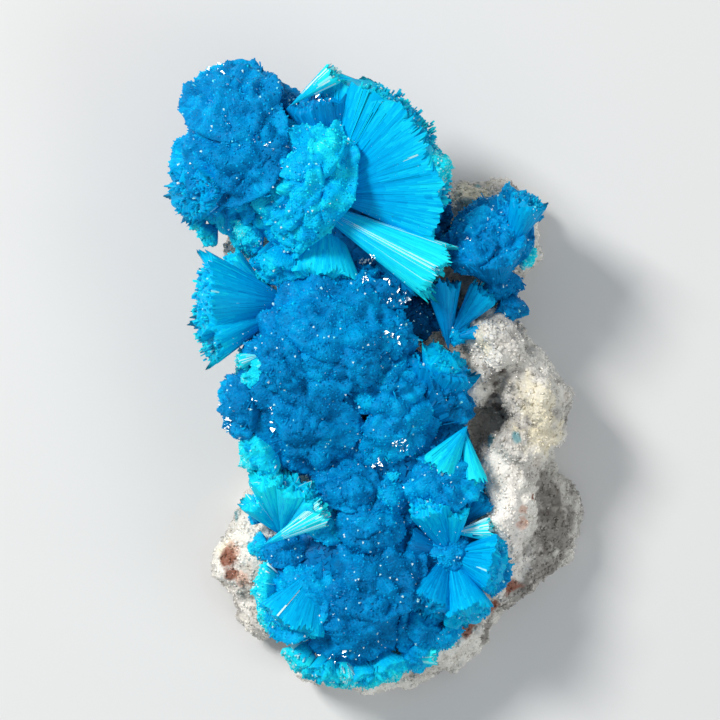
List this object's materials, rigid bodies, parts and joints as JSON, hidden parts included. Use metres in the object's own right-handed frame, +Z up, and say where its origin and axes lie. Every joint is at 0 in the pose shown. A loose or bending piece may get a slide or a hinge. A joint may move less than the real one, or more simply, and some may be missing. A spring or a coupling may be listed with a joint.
{
  "type": "cavansite mineral specimen",
  "caption": "Long clump of azure blue radiating crystal sprays on a rough white and grey drusy matrix with a flat base.",
  "frame": {"origin": "on the base plane, under the middle of the specimen's box", "axes": "+Y along the specimen's length towards the crown of sprays, +X to the side where the matrix shows widest, +Z up from the flat base"},
  "size_m": [0.042, 0.0647, 0.0197],
  "materials": {
    "matrix": "white and grey drusy grains with cream lumps and red-brown basalt",
    "cavansite": "azure blue vitreous crystals, silky along their length"
  },
  "bodies": {
    "root": {"matrix": "matrix", "cavansite": "cavansite", "cavansite_north_east": "cavansite", "cavansite_blades": "cavansite"}
  },
  "joints": []
}
